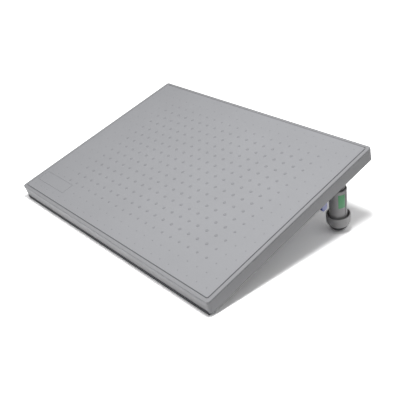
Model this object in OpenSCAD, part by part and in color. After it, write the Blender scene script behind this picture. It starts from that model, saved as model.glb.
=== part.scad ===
// Tilting under desk footrest: a wide sloping platform on a rubber front strip
// and two rear legs whose length sets the height and the slope.
// Platform frame: X left to right, Y up the slope from the front edge, Z square to the rim.

/* [Platform] */
// Width of the platform, left to right
plate_w = 450; // [400:5:520]
// Depth of the platform, measured up the slope
plate_d = 340; // [320:5:400]
// Slope of the platform with both legs run out, in degrees
plate_tilt = 18; // [15:0.5:20]
// Height of the side walls
skirt_h = 21.5; // [20:0.5:26]
// Thickness of the side walls
wall_t = 3; // [2.4:0.2:3.2]
// Thickness of the deck that carries the tread
deck_t = 2.2; // [1.8:0.1:2.6]
// Radius of the four corners, seen from above
corner_r = 4.5; // [4:0.5:14]
// Rounding of the upper outer edge
edge_r = 1.5; // [1:0.25:3.5]

/* [Tread] */
// Distance from the platform's outer edge to the tread
tread_inset = 6; // [5:0.5:9]
// Shadow gap between the tread and the rim
tread_gap = 0.8; // [0.5:0.1:1.2]
// Depth of the pocket that the tread lies in
pocket_depth = 1.4; // [1:0.1:1.8]
// Height of the tread above the rim
tread_rise = 0.6; // [0.3:0.1:1]
// Rounding of the tread's upper edge
tread_edge_r = 0.8; // [0.5:0.1:1]
// Spacing of the grip domes, both ways
dome_pitch = 18; // [16:0.5:22]
// Diameter of a full grip dome
dome_d = 5; // [4:0.25:6]
// Height of a full grip dome
dome_h = 0.9; // [0.6:0.1:1.2]
// Length of the bare name field
field_w = 76; // [50:1:90]
// Height of the bare name field
field_d = 22; // [16:1:26]
// Distance of the bare name field from the left edge
field_left = 12; // [10:0.5:30]
// Distance of the bare name field from the front edge
field_front = 25; // [16:1:40]
// Depth of the line round the bare name field
field_line_depth = 0.4; // [0.2:0.1:0.5]

/* [Underside] */
// Thickness of the ribs under the deck
rib_t = 1.8; // [1.4:0.1:2.4]
// Depth of the ribs below the deck
rib_h = 5; // [3:0.5:7]
// Depth of the sole rail along the front wall, front to back
rail_d = 14; // [12:0.5:18]
// Thickness of the sole rail
rail_t = 2.6; // [2:0.1:3.2]

/* [Front strip] */
// Height of the rubber strip at the front edge
strip_t = 4; // [3:0.25:6]
// Depth of the rubber strip, front to back
strip_d = 9; // [7:0.5:10]
// Set-back of the rubber strip from the front face
strip_set = 1.5; // [1:0.25:2.5]
// Depth of the groove that holds the strip's tongue
strip_tongue_h = 1.4; // [1:0.1:1.6]

/* [Legs] */
// Distance from a leg's axis to the side of the platform
leg_side = 20; // [19:0.5:40]
// Distance from a leg's axis to the rear edge, at the top
leg_rear = 55; // [50:1:80]
// Lean of the legs from square to the platform, foot forward, in degrees
leg_rake = 8; // [5:0.5:10]
// Outer diameter of the leg tube
tube_d = 26.5; // [26:0.25:28]
// Wall of the leg tube
tube_wall = 2.4; // [2.2:0.1:2.6]
// Running clearance of the tube on its guide post, at the radius
tube_fit = 0.1; // [0.05:0.01:0.1]
// Width of the green height mark
mark_w = 10.5; // [8:0.5:12]
// Length of the green height mark
mark_len = 23; // [15:1:26]
// Direction that the height mark faces, from the front towards the outside, in degrees
mark_turn = 62; // [55:1:66]

/* [Feet] */
// Outer diameter of the foot cup at its rim
cup_d = 36.5; // [36:0.25:38]
// Wall of the foot cup at its rim
cup_wall = 2; // [1.6:0.1:2.4]
// Height of the cup's rim above the foot's end
cup_h = 29.2; // [28:0.2:32]
// Radius of the rubber foot's rolling face
foot_r = 16; // [15:0.5:18]
// Radius of the spigot that the rubber foot pushes on to
spigot_r = 7.5; // [6:0.25:8.5]

/* [Lock] */
// Diameter of the lock rod
rod_d = 5; // [4:0.25:5.5]
// Diameter of the lock rod's head
rod_head_d = 13; // [11:0.25:13.2]
// Thickness of the rubber brake ring
brake_t = 5; // [4:0.25:5]
// Wire of the return spring
wire_d = 1.2; // [0.8:0.1:1.4]
// Turns of the return spring
spring_turns = 7; // [5:1:8]
// Diameter of the release lever's pivot pin
pin_d = 3; // [2.5:0.1:3.2]
// Travel of the release lever, in degrees
lever_swing = 6; // [3:0.5:6]

/* [Hidden] */
$fn = 64;
shell_grey = [0.66, 0.67, 0.70];
leg_grey = [0.50, 0.50, 0.52];
post_grey = [0.36, 0.36, 0.38];
rubber_black = [0.05, 0.05, 0.055];
lever_blue = [0.10, 0.16, 0.50];
mark_green = [0.16, 0.55, 0.28];
steel = [0.72, 0.73, 0.75];

// Overrun of a cut past the face that it opens
over = 1;
// Gap between pieces that pass each other without touching
loose = 0.3;
// Gap at the radius round a screw, pin or spigot in its hole
thread_gap = 0.05;

// Height of the platform frame above the floor at the front edge
rim_z = skirt_h * cos(plate_tilt) + strip_t;
// Front and rear ends of the platform over the floor, and the middle between them
front_y = edge_r * (cos(plate_tilt) + sin(plate_tilt) - 1);
rear_y = plate_d * cos(plate_tilt) + skirt_h * sin(plate_tilt);
mid_y = (front_y + rear_y) / 2;
under_z = -(pocket_depth + deck_t);

// Tread pocket and tread outlines
pocket_inset = tread_inset - tread_gap;
tread_r = max(corner_r - tread_inset, 2 * tread_edge_r + tread_gap);
pocket_r = tread_r + tread_gap;
tread_t = pocket_depth + tread_rise;

// Dome grid: columns and rows fill the tread up to a margin from the platform's edges
dome_margin = 14;
dome_cols = floor((plate_w - 2 * dome_margin) / dome_pitch) + 1;
dome_rows = floor((plate_d - 2 * dome_margin) / dome_pitch) + 1;
// Sizes of the outer domes, counted from each edge, as shares of a full dome
left_shares = [0.35, 0.4, 0.45, 0.9];
right_shares = [0.4, 0.45, 0.8];
front_shares = [0.4, 0.45, 0.8];
rear_shares = [0.35, 0.45, 0.75];

// Bare name field near the front left corner
field_x = field_left - plate_w / 2;
field_line_w = 2 * field_line_depth;

// Screws that hold the tread from below
screw_r = 1.5;
screw_head_r = 4.5;
screw_head_h = 2;
screw_slot_w = 1;
screw_slot_depth = 0.9;
stud_r = 2.6;
screw_end_skin = 0.6;
tread_screw_cols = 4;
tread_screw_rows = 4;
tread_screw_edge = 38;

// Ribs: spacing both ways, and the bay at each rear corner that stays open for the leg
rib_pitch = 44;
bay_w = 52;
bay_d = 132;

// Axis of the right leg where it meets the platform's top
leg_x = plate_w / 2 - leg_side;
leg_y = plate_d - leg_rear;
// Places along the leg's axis, measured down from there with the leg run out
foot_centre = (rim_z + leg_y * sin(plate_tilt) - foot_r) / cos(plate_tilt - leg_rake);
leg_len = foot_centre + foot_r;
tube_r = tube_d / 2;
tube_bore_r = tube_r - tube_wall;
post_r = tube_bore_r - tube_fit;

// Foot cup: straight at the rim, then drawn in on an ellipse
cup_r = cup_d / 2;
cup_top = leg_len - cup_h;
cup_rim_soft = 0.5;
cup_straight = 8;
bowl_start = cup_top + cup_straight;
bowl_len = 20.4;
bowl_steps = 10;
foot_t = 5.7;
cup_end = leg_len - foot_t;
spigot_h = 2.2;
cup_floor_t = 3;
cavity_end = cup_end - cup_floor_t;
socket_len = 6;
socket_floor_t = 2.3;
socket_end = cavity_end - socket_floor_t;
gap_end = socket_end - socket_len;
gap_soft = 0.8;
cup_pin_r = 1.25;
cup_pin_s = (gap_end + socket_end) / 2;
cup_pin_sink = 0.4;
// Directions of the two cup pins about the axis, out of sight from the front
cup_pin_turns = [150, 215];

// Release lever, measured from the axis where it meets the platform's top
pin_r = pin_d / 2;
pivot_y = -23;
pivot_drop = 5.6;
pivot_z = under_z - pivot_drop;
hub_r = 4.2;
hub_w = 11;
pin_fit = 0.06;
ear_t = 2.8;
ear_gap = 0.4;
ear_r = 4;
blade_w = 9;
blade_t = 2.4;
blade_gap = 0.5;
blade_top = under_z - blade_gap;
blade_end = 2;
nose_r = 2;
nose_y = -1;
nose_z = blade_top - blade_t + nose_r / 3;
lever_arm = nose_y - pivot_y;
arm_w = 8;
arm_t = 4;
arm_drop = 5.4;
arm_top = under_z - arm_drop;
arm_straight = 6;
pad_len = 12;
pad_w = 7.5;
pad_y = -61;
pad_side_gap = 0.7;
pad_x = leg_side - wall_t - pad_side_gap - pad_w;
pad_drop = 15;
pad_bottom = -(skirt_h + pad_drop);
pad_soft = 5.4;

// Lock rod and its stack below the post
rod_stroke = lever_arm * lever_swing * PI / 180;
rod_top = (loose + nose_r - nose_z) / cos(leg_rake);
rod_head_t = 2.5;
rod_r = rod_d / 2;
rod_gap = 0.1;
nut_h = 3;
nut_r = 4.6;
washer_t = 1.2;
washer_gap = 0.8;
stack_gap = 0.4;
stop_gap = 0.3;
stop_len = 4.2;
key_w = 3;
key_h = 1;
key_gap = 0.2;
key_len = 20;
// Room above the tube when it is pushed in
top_room = 9.9;
// From the end of the rod's nut up to the top of the tube, with the leg run out
stack = nut_h + washer_t + brake_t + key_len + stop_gap + stop_len;
leg_stroke = (cavity_end - rod_stroke - stack_gap - stack - top_room) / 2;
nut_end = cavity_end - leg_stroke - rod_stroke - stack_gap;
washer_end = nut_end - nut_h;
brake_end = washer_end - washer_t;
post_end = brake_end - brake_t;
key_top = post_end - key_len;
tube_top = key_top - stop_gap - stop_len;

// Guide post
flange_t = 2.4;
collar_w = 2;
flange_arm_w = 7;
boss_r = 5;
boss_h = 6.5;
boss_wall = 1.4;
post_wall = 3.5;
post_bore_r = post_r - post_wall;
shoulder = 34;
lever_room = 2.2;
// Places of the post's screws about the axis, as shares of the post's radius
post_screw_shares = [[-1.86, 1.4], [-1.86, -1.02], [0.19, 2.14]];
post_screw_spots = post_r * post_screw_shares;
csk_r = 3;
csk_h = 1.5;

// Leg tube
seam_w = 1.6;
seam_depth = 0.9;
mark_t = 1;
mark_proud = 0.2;
mark_top_gap = 5.5;

// Return spring round the rod, between its head and the post's shoulder
spring_top = rod_top + rod_head_t;
spring_side_gap = 0.6;
spring_r = post_bore_r - wire_d / 2 - spring_side_gap;
spring_end_gap = 0.05;
spring_close = 0.06;
spring_steps = 14;
spring_sides = 6;

// Places a piece of the platform frame in the frame of the floor
module on_platform() {
    translate([0, -mid_y, rim_z]) rotate([plate_tilt, 0, 0]) children();
}

// Draws a right-hand piece on the right (side 1) or mirrored on the left (side -1)
module on_side(side) {
    on_platform() mirror([side > 0 ? 0 : 1, 0, 0]) children();
}

// Places a piece beside a leg, square to the platform
module by_leg(side) {
    on_side(side) translate([leg_x, leg_y, 0]) children();
}

// Places a piece that is drawn along a leg's axis, with Z down from the platform's top
module on_leg(side) {
    by_leg(side) rotate([-leg_rake, 0, 0]) mirror([0, 0, 1]) children();
}

// Rounded rectangle about the platform's middle, drawn in from its outline
module outline(inset, r) {
    w = plate_w - 2 * inset;
    d = plate_d - 2 * inset;
    translate([0, plate_d / 2]) {
        square([w - 2 * r, d], center = true);
        square([w, d - 2 * r], center = true);
        for (sx = [-1, 1], sy = [-1, 1])
            translate([sx * (w / 2 - r), sy * (d / 2 - r)]) circle(r);
    }
}

// Slab with a rounded upper edge, its top at the given height
module soft_slab(inset, r, top, height, round_r) {
    w = plate_w - 2 * inset;
    d = plate_d - 2 * inset;
    translate([0, plate_d / 2, top - height]) hull()
        for (sx = [-1, 1], sy = [-1, 1]) translate([sx * (w / 2 - r), sy * (d / 2 - r), 0]) {
            cylinder(h = height - round_r, r = r, $fn = 32);
            translate([0, 0, height - round_r]) rotate_extrude($fn = 32)
                translate([r - round_r, 0]) circle(round_r, $fn = 32);
        }
}

// True inside the bay that stays open for a leg and its lever
function in_bay(x, y) = abs(x) > plate_w / 2 - wall_t - bay_w && y > plate_d - bay_d;
function tread_screw_x(i) =
    -plate_w / 2 + tread_screw_edge + i * (plate_w - 2 * tread_screw_edge) / (tread_screw_cols - 1);
function tread_screw_y(j) =
    tread_screw_edge + j * (plate_d - 2 * tread_screw_edge) / (tread_screw_rows - 1);

module at_tread_screws() {
    for (i = [0 : tread_screw_cols - 1], j = [0 : tread_screw_rows - 1])
        if (!in_bay(tread_screw_x(i), tread_screw_y(j)))
            translate([tread_screw_x(i), tread_screw_y(j), 0]) children();
}

module at_post_screws() {
    for (spot = post_screw_spots) translate([spot[0], spot[1], 0]) children();
}

// Crossed ribs under the deck, from wall to wall, open at the two bays
module rib_grid() {
    half_w = plate_w / 2 - wall_t;
    count_x = floor((half_w - rib_pitch / 2) / rib_pitch);
    count_y = floor((plate_d - rail_d) / rib_pitch);
    translate([0, 0, under_z - rib_h]) {
        for (i = [-count_x : count_x]) {
            x = i * rib_pitch;
            far = in_bay(x, plate_d) ? plate_d - bay_d : plate_d - wall_t;
            translate([x - rib_t / 2, wall_t, 0]) cube([rib_t, far - wall_t, rib_h]);
        }
        for (j = [1 : count_y]) {
            y = j * rib_pitch;
            half = y > plate_d - bay_d ? half_w - bay_w : half_w;
            translate([-half, y - rib_t / 2, 0]) cube([2 * half, rib_t, rib_h]);
        }
    }
}

module base_shell() {
    color(shell_grey) {
        difference() {
            on_platform() union() {
                difference() {
                    soft_slab(0, corner_r, 0, skirt_h, edge_r);
                    translate([0, 0, -skirt_h - over])
                        linear_extrude(skirt_h + over + under_z) outline(wall_t, corner_r - wall_t);
                }
                translate([-(plate_w / 2 - corner_r), wall_t / 2, -skirt_h])
                    cube([plate_w - 2 * corner_r, rail_d - wall_t / 2, rail_t]);
            }
            on_platform() {
                translate([0, 0, -pocket_depth]) linear_extrude(pocket_depth + over)
                    outline(pocket_inset, pocket_r);
                at_tread_screws() translate([0, 0, under_z - over])
                    cylinder(h = deck_t + 2 * over, r = stud_r + loose);
                strip_tongue(0);
            }
            for (side = [-1, 1]) by_leg(side) at_post_screws() translate([0, 0, under_z]) {
                translate([0, 0, -over]) cylinder(h = deck_t + 2 * over, r = screw_r + thread_gap);
                translate([0, 0, deck_t - csk_h]) cylinder(h = csk_h, r1 = screw_r + thread_gap,
                    r2 = csk_r + thread_gap);
            }
        }
    }
}

module deck_ribs() {
    color(shell_grey) on_platform() difference() {
        rib_grid();
        at_tread_screws() translate([0, 0, under_z - rib_h - over])
            cylinder(h = rib_h + 2 * over, r = screw_head_r + loose);
    }
}

// Share of a full dome at a place in the grid
function dome_share(i, j) = min(
    i < len(left_shares) ? left_shares[i] : 1,
    dome_cols - 1 - i < len(right_shares) ? right_shares[dome_cols - 1 - i] : 1,
    j < len(front_shares) ? front_shares[j] : 1,
    dome_rows - 1 - j < len(rear_shares) ? rear_shares[dome_rows - 1 - j] : 1);
function dome_x(i) = (i - (dome_cols - 1) / 2) * dome_pitch;
function dome_y(j) = plate_d / 2 + (j - (dome_rows - 1) / 2) * dome_pitch;
// True where a dome would stand on the name field or its line
function on_field(x, y) =
    x > field_x - dome_d && x < field_x + field_w + dome_d
    && y > field_front - dome_d && y < field_front + field_d + dome_d;

module grip_domes() {
    cap_r = (pow(dome_d / 2, 2) + pow(dome_h, 2)) / (2 * dome_h);
    intersection() {
        for (i = [0 : dome_cols - 1], j = [0 : dome_rows - 1])
            if (!on_field(dome_x(i), dome_y(j))) {
                k = dome_share(i, j);
                translate([dome_x(i), dome_y(j), tread_rise + k * (dome_h - cap_r)]) sphere(k * cap_r);
            }
        translate([-plate_w / 2, 0, tread_rise / 2]) cube([plate_w, plate_d, dome_h + tread_rise]);
    }
}

module tread_plate() {
    color(shell_grey) on_platform() difference() {
        union() {
            soft_slab(tread_inset, tread_r, tread_rise, tread_t, tread_edge_r);
            grip_domes();
            at_tread_screws() translate([0, 0, under_z + loose]) cylinder(h = deck_t, r = stud_r);
        }
        at_tread_screws() translate([0, 0, under_z])
            cylinder(h = deck_t + tread_t - screw_end_skin, r = screw_r + thread_gap);
        translate([field_x, field_front, tread_rise - field_line_depth]) difference() {
            cube([field_w, field_d, field_line_depth + over]);
            translate([field_line_w, field_line_w, -over])
                cube([field_w - 2 * field_line_w, field_d - 2 * field_line_w, field_line_depth + 3 * over]);
        }
    }
}

// Pan head screw pointing up, its seat at the origin
module pan_screw(length) {
    difference() {
        union() {
            cylinder(h = length, r = screw_r);
            translate([0, 0, -screw_head_h / 2]) cylinder(h = screw_head_h / 2, r = screw_head_r);
            translate([0, 0, -screw_head_h])
                cylinder(h = screw_head_h / 2, r1 = screw_head_r - screw_slot_w, r2 = screw_head_r);
        }
        for (turn = [0, 90]) rotate(turn)
            translate([-screw_head_r / 2, -screw_slot_w / 2, -screw_head_h - over])
                cube([screw_head_r, screw_slot_w, screw_slot_depth + over]);
    }
}

module tread_screws() {
    color(steel) on_platform() at_tread_screws() translate([0, 0, under_z])
        pan_screw(deck_t + tread_t - screw_end_skin - loose);
}

// Tongue of the rubber strip, cut into the rail or, with a gap, left standing on the strip
module strip_tongue(gap) {
    tongue_w = strip_d / 3;
    tongue_x = plate_w / 2 - 2 * corner_r - gap;
    translate([-tongue_x, strip_set + strip_d / 2 - tongue_w / 2 + gap, -skirt_h - over])
        cube([2 * tongue_x, tongue_w - 2 * gap, over + strip_tongue_h - gap]);
}

module front_strip() {
    y0 = strip_set;
    y1 = strip_set + strip_d;
    // Heights of the floor below the rim, in the platform frame, at the strip's two edges
    z0 = -(rim_z + y0 * sin(plate_tilt)) / cos(plate_tilt);
    z1 = -(rim_z + y1 * sin(plate_tilt)) / cos(plate_tilt);
    soft = strip_t / 4;
    slope = (z1 - z0) / strip_d;
    color(rubber_black) on_platform() {
        translate([-(plate_w / 2 - corner_r), 0, 0]) rotate([90, 0, 90])
            linear_extrude(plate_w - 2 * corner_r) polygon([
                [y0, -skirt_h], [y0, z0 + soft], [y0 + soft / 3, z0 + soft / 3],
                [y0 + soft, z0 + slope * soft], [y1 - soft, z1 - slope * soft],
                [y1 - soft / 3, z1 + soft / 3], [y1, z1 + soft], [y1, -skirt_h]]);
        strip_tongue(thread_gap);
    }
}

// Flange: an arm from the axis to each screw and one to the lever's ears
module flange_outline() {
    circle(post_r + collar_w);
    for (spot = post_screw_spots) {
        translate(spot) circle(boss_r);
        rotate(atan2(spot[1], spot[0])) translate([0, -flange_arm_w / 2]) square([norm(spot),
            flange_arm_w]);
    }
    translate([-(hub_w / 2 + ear_gap + ear_t), pivot_y - ear_r])
        square([hub_w + 2 * (ear_gap + ear_t), -pivot_y + ear_r]);
}

// Two ears that hold the lever's pin
module lever_ears() {
    for (x = [hub_w / 2 + ear_gap, -(hub_w / 2 + ear_gap + ear_t)]) {
        translate([x, pivot_y, pivot_z]) rotate([0, 90, 0]) cylinder(h = ear_t, r = ear_r);
        translate([x, pivot_y - ear_r, pivot_z]) cube([ear_t, 2 * ear_r, under_z - pivot_z]);
    }
}

module guide_post(side) {
    slot_h = flange_t + lever_room + rod_stroke;
    color(post_grey) difference() {
        union() {
            by_leg(side) {
                translate([0, 0, under_z - flange_t]) linear_extrude(flange_t) flange_outline();
                at_post_screws() translate([0, 0, under_z - boss_h]) cylinder(h = boss_h,
                    r = boss_r - boss_wall / 2);
                lever_ears();
            }
            on_leg(side) {
                cylinder(h = post_end, r = post_r);
                translate([-key_w / 2, 0, key_top]) cube([key_w, post_r + key_h, key_len]);
            }
        }
        on_leg(side) {
            translate([0, 0, -over]) cylinder(h = shoulder + over, r = post_bore_r);
            cylinder(h = post_end + over, r = rod_r + rod_gap);
        }
        by_leg(side) {
            // Slot for the lever's blade through the post's wall, and the room for its hub
            translate([-blade_w / 2 - ear_gap, pivot_y, under_z - slot_h])
                cube([blade_w + 2 * ear_gap, -pivot_y, slot_h + over]);
            translate([-hub_w / 2 - ear_gap, pivot_y - ear_r - over, under_z - slot_h])
                cube([hub_w + 2 * ear_gap, 2 * hub_r + over, slot_h + over]);
            at_post_screws() translate([0, 0, under_z - boss_h + boss_wall])
                cylinder(h = boss_h + over, r = screw_r + thread_gap);
            translate([-2 * post_r, -2 * post_r, under_z]) cube([4 * post_r, 4 * post_r, -2 * under_z]);
            translate([-(hub_w / 2 + ear_gap + ear_t + over), pivot_y, pivot_z]) rotate([0, 90, 0])
                cylinder(h = hub_w + 2 * (ear_gap + ear_t + over), r = pin_r + thread_gap);
        }
    }
}

// Countersunk screws that hold the post's flange, driven from above under the tread
module post_screws(side) {
    length = deck_t + boss_h - boss_wall - 2 * loose;
    color(steel) by_leg(side) at_post_screws() translate([0, 0, -pocket_depth]) difference() {
        union() {
            translate([0, 0, -length]) cylinder(h = length, r = screw_r);
            translate([0, 0, -csk_h]) cylinder(h = csk_h, r1 = screw_r, r2 = csk_r);
        }
        for (turn = [0, 90]) rotate(turn)
            translate([-csk_r / 2, -screw_slot_w / 2, -screw_slot_depth]) cube([csk_r, screw_slot_w,
                screw_slot_depth + over]);
    }
}

// Sector of a ring that faces the way the height mark does
module mark_sector(inner_r, outer_r, width, top, length) {
    rotate(mark_turn - 90) translate([0, 0, top]) intersection() {
        difference() {
            cylinder(h = length, r = outer_r);
            translate([0, 0, -over]) cylinder(h = length + 2 * over, r = inner_r);
        }
        translate([0, -width / 2, 0]) cube([outer_r + over, width, length]);
    }
}

module leg_tube(side) {
    color(leg_grey) on_leg(side) difference() {
        translate([0, 0, tube_top]) cylinder(h = socket_end - tube_top, r = tube_r);
        translate([0, 0, tube_top - over]) cylinder(h = socket_end - tube_top + 2 * over, r = tube_bore_r);
        translate([-key_w / 2 - key_gap, 0, tube_top + stop_len])
            cube([key_w + 2 * key_gap, post_r + key_h + key_gap, socket_end - tube_top]);
        for (turn = [0, 180]) rotate(turn)
            translate([tube_r - seam_depth, -seam_w / 2, tube_top - over])
                cube([seam_depth + over, seam_w, gap_end - tube_top + over]);
        mark_sector(tube_r - mark_t, tube_r + over, mark_w, tube_top + mark_top_gap, mark_len);
        at_cup_pins() cylinder(h = cup_r, r = cup_pin_r + thread_gap);
    }
}

module height_mark(side) {
    color(mark_green) on_leg(side)
        mark_sector(tube_r - mark_t + thread_gap, tube_r + mark_proud, mark_w - 4 * thread_gap,
            tube_top + mark_top_gap + thread_gap, mark_len - 2 * thread_gap);
}

function bowl_radius(s) = cup_r * sqrt(1 - pow((s - bowl_start) / bowl_len, 2));

// Points out from the axis along each cup pin, at the pin's height
module at_cup_pins() {
    for (turn = cup_pin_turns) translate([0, 0, cup_pin_s]) rotate([0, 90, turn]) children();
}

module foot_cup(side) {
    inner_r = cup_r - cup_wall;
    color(leg_grey) on_leg(side) difference() {
        rotate_extrude() polygon(concat(
            [[inner_r, cup_top + cup_rim_soft], [inner_r + cup_rim_soft, cup_top],
             [cup_r - cup_rim_soft, cup_top], [cup_r, cup_top + cup_rim_soft]],
            [for (i = [0 : bowl_steps])
                let (s = bowl_start + i * (cup_end - bowl_start) / bowl_steps) [bowl_radius(s), s]],
            [[spigot_r, cup_end], [spigot_r, cup_end + spigot_h], [0, cup_end + spigot_h], [0, cavity_end],
             [tube_bore_r, cavity_end], [tube_bore_r, socket_end], [tube_r + thread_gap, socket_end],
             [tube_r + thread_gap, gap_end], [inner_r - gap_soft, gap_end], [inner_r,
                 gap_end - gap_soft]]));
        at_cup_pins() cylinder(h = cup_r, r = cup_pin_r + thread_gap);
    }
}

module cup_pins(side) {
    color(steel) on_leg(side) at_cup_pins() translate([0, 0, tube_bore_r + loose])
        cylinder(h = bowl_radius(cup_pin_s) - cup_pin_sink - tube_bore_r - loose, r = cup_pin_r);
}

module rubber_foot(side) {
    color(rubber_black) on_leg(side) difference() {
        translate([0, 0, foot_centre]) sphere(foot_r);
        translate([-foot_r - over, -foot_r - over, foot_centre - foot_r - over])
            cube([2 * (foot_r + over), 2 * (foot_r + over), cup_end - foot_centre + foot_r + over]);
        translate([0, 0, cup_end - over]) cylinder(h = spigot_h + over + thread_gap,
            r = spigot_r + thread_gap);
    }
}

module release_lever(side) {
    color(lever_blue) by_leg(side) difference() {
        union() {
            translate([-hub_w / 2, pivot_y, pivot_z]) rotate([0, 90, 0]) cylinder(h = hub_w, r = hub_r);
            // Blade over the tube's rim, with a rounded nose on the rod's head
            translate([-blade_w / 2, pivot_y, blade_top - blade_t]) cube([blade_w, blade_end - pivot_y,
                blade_t]);
            translate([-blade_w / 2, nose_y, nose_z]) rotate([0, 90, 0]) cylinder(h = blade_w, r = nose_r);
            // Arm that turns out to the finger pad beside the skirt
            translate([0, 0, arm_top - arm_t]) linear_extrude(arm_t) polygon([
                [-arm_w / 2, pivot_y], [arm_w / 2, pivot_y], [arm_w / 2, pivot_y - arm_straight],
                [pad_x + pad_w, pad_y + pad_len], [pad_x + pad_w, pad_y], [pad_x, pad_y],
                [pad_x, pad_y + pad_len / 2], [-arm_w / 2, pivot_y - arm_straight]]);
            translate([pad_x, 0, 0]) rotate([90, 0, 90]) linear_extrude(pad_w) {
                translate([pad_y, pad_bottom + pad_soft]) square([pad_len,
                    arm_top - pad_bottom - pad_soft]);
                translate([pad_y + pad_soft, pad_bottom]) square([pad_len - 2 * pad_soft, pad_soft]);
                for (y = [pad_y + pad_soft, pad_y + pad_len - pad_soft]) translate([y,
                    pad_bottom + pad_soft]) circle(pad_soft);
            }
        }
        translate([-hub_w / 2 - over, pivot_y, pivot_z]) rotate([0, 90, 0])
            cylinder(h = hub_w + 2 * over, r = pin_r + pin_fit);
    }
}

module lever_pin(side) {
    half = hub_w / 2 + ear_gap + ear_t - thread_gap;
    color(steel) by_leg(side) translate([-half, pivot_y, pivot_z])
        rotate([0, 90, 0]) cylinder(h = 2 * half, r = pin_r);
}

module lock_rod(side) {
    color(steel) on_leg(side) {
        translate([0, 0, rod_top]) cylinder(h = rod_head_t, r = rod_head_d / 2);
        translate([0, 0, rod_top + rod_head_t / 2])
            cylinder(h = nut_end - loose - rod_top - rod_head_t / 2, r = rod_r);
    }
}

// Ring round the rod
module rod_ring(outer_r, gap, start, length) {
    translate([0, 0, start]) difference() {
        cylinder(h = length, r = outer_r);
        translate([0, 0, -over]) cylinder(h = length + 2 * over, r = rod_r + gap);
    }
}

module pressure_washer(side) {
    color(steel) on_leg(side) rod_ring(tube_bore_r - washer_gap, thread_gap, brake_end, washer_t);
}

module rod_nut(side) {
    color(steel) on_leg(side) translate([0, 0, washer_end]) difference() {
        cylinder(h = nut_h, r = nut_r, $fn = 6);
        translate([0, 0, -over]) cylinder(h = nut_h + 2 * over, r = rod_r + thread_gap);
    }
}

module brake_ring(side) {
    color(rubber_black) on_leg(side) rod_ring(post_r, loose, post_end, brake_t);
}

// Height of the spring's wire at a share of its length, with its end turns lying closer
function spring_rise(t) =
    (t - spring_close * sin(360 * t)) * (shoulder - spring_top - wire_d - 2 * spring_end_gap);

// Least gap between the spring's turns, measured on its points
spring_rings = spring_turns * spring_steps;
spring_gap = min([for (i = [0 : spring_rings - spring_steps])
    spring_rise((i + spring_steps) / spring_rings) - spring_rise(i / spring_rings)]) - wire_d;
echo("Least gap between the turns of the return spring, in mm:", spring_gap);

module return_spring(side) {
    rings = spring_rings;
    start = spring_top + wire_d / 2 + spring_end_gap;
    points = [for (i = [0 : rings], k = [0 : spring_sides - 1])
        let (a = 360 * i / spring_steps, b = 360 * (k + 0.5) / spring_sides,
            r = spring_r + wire_d / 2 * cos(b))
        [r * cos(a), r * sin(a), start + spring_rise(i / rings) + wire_d / 2 * sin(b)]];
    sides = [for (i = [0 : rings - 1], k = [0 : spring_sides - 1])
        let (n = (k + 1) % spring_sides, p = i * spring_sides, q = p + spring_sides)
        each [[p + k, p + n, q + n], [p + k, q + n, q + k]]];
    end = rings * spring_sides;
    caps = [for (k = [1 : spring_sides - 2]) each [[0, k + 1, k], [end, end + k, end + k + 1]]];
    color(steel) on_leg(side) polyhedron(points = points, faces = concat(sides, caps));
}

base_shell();
deck_ribs();
tread_plate();
tread_screws();
front_strip();
guide_post(-1);  // left_guide_post
guide_post(1);  // right_guide_post
post_screws(-1);  // left_post_screws
post_screws(1);  // right_post_screws
leg_tube(-1);  // left_leg_tube
leg_tube(1);  // right_leg_tube
height_mark(-1);  // left_height_mark
height_mark(1);  // right_height_mark
foot_cup(-1);  // left_foot_cup
foot_cup(1);  // right_foot_cup
cup_pins(-1);  // left_cup_pins
cup_pins(1);  // right_cup_pins
rubber_foot(-1);  // left_rubber_foot
rubber_foot(1);  // right_rubber_foot
release_lever(-1);  // left_release_lever
release_lever(1);  // right_release_lever
lever_pin(-1);  // left_lever_pin
lever_pin(1);  // right_lever_pin
lock_rod(-1);  // left_lock_rod
lock_rod(1);  // right_lock_rod
pressure_washer(-1);  // left_pressure_washer
pressure_washer(1);  // right_pressure_washer
rod_nut(-1);  // left_rod_nut
rod_nut(1);  // right_rod_nut
brake_ring(-1);  // left_brake_ring
brake_ring(1);  // right_brake_ring
return_spring(-1);  // left_return_spring
return_spring(1);  // right_return_spring
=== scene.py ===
"""Tilting under desk footrest: a sloping dotted platform on a rubber strip and two rear legs."""
import logging
import math
from dataclasses import dataclass, field
from enum import Enum

import bmesh
import bpy
from mathutils import Euler, Matrix, Vector


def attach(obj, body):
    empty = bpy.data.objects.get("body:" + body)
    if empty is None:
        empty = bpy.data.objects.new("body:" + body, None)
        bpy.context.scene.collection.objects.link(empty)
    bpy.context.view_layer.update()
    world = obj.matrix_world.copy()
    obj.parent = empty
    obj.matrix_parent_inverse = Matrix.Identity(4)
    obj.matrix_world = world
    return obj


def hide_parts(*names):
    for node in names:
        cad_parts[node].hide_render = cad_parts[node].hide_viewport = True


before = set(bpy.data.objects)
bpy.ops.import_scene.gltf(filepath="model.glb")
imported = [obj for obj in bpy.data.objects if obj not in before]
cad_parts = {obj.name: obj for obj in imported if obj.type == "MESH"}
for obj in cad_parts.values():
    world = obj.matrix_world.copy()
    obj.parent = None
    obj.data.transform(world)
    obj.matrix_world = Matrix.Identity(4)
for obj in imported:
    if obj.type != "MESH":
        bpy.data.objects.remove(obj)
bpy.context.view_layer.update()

LOG = logging.getLogger("footrest")
Pair = tuple[float, float]
Triple = tuple[float, float, float]
Verts = list[bmesh.types.BMVert]
Edges = list[bmesh.types.BMEdge]
MM = 0.001
PLATFORM = "platform"
# In millimetres: how far cutters run past a piece, slack when points are picked, points that count as one.
OVER = 1.0
NEAR = 0.01
MERGE = 0.0005
# In degrees: edges that turn by more are rounded.
SHARP = 60.0


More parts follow.
